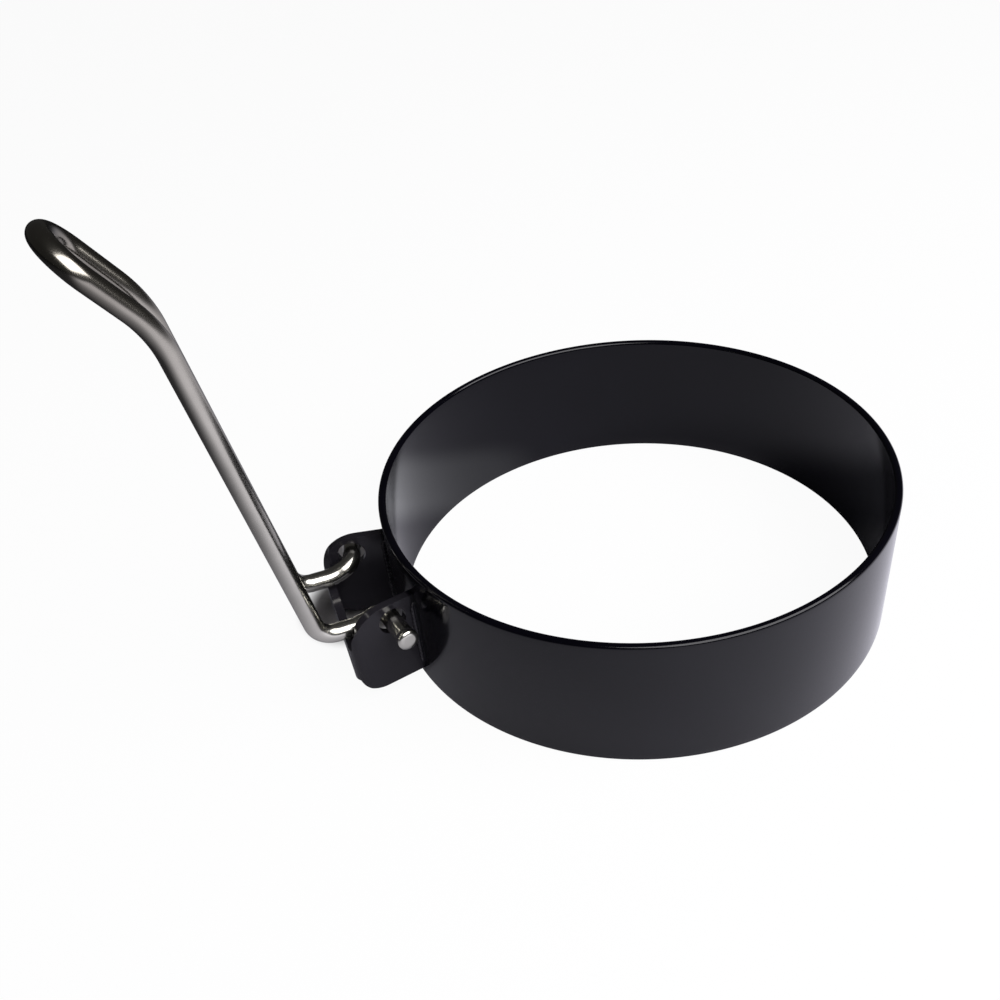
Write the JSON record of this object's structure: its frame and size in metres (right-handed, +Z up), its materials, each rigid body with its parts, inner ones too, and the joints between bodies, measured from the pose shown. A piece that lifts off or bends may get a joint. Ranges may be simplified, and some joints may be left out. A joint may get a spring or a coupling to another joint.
{
  "type": "egg_ring",
  "caption": "Round egg ring for frying, with a folded hinge bracket on its side and an upright bent wire handle that folds down over the ring",
  "frame": {"origin": "Middle of the part's box at its bottom, on the surface that the ring rests on", "axes": "+Z up along the ring's upright axis, +X from the handle's side toward the far side of the ring, +Y to the left ear seen from behind the handle"},
  "size_m": [0.1054, 0.076, 0.0734],
  "materials": {
    "black_enamel": "glossy black coating",
    "bright_wire": "bright plated wire"
  },
  "bodies": {
    "ring": {"ring_band": "black_enamel", "hinge_bracket": "black_enamel", "left_outer_weld": "black_enamel", "left_inner_weld": "black_enamel", "right_outer_weld": "black_enamel", "right_inner_weld": "black_enamel"},
    "handle": {"handle_wire": "bright_wire"}
  },
  "joints": [
    {"name": "handle_fold", "type": "hinge", "parent": "ring", "child": "handle", "pos_m": [-0.02684, 0, 0.0135], "axis": [-0.1045, 0.9945, 0], "range_deg": [0, 105]}
  ]
}
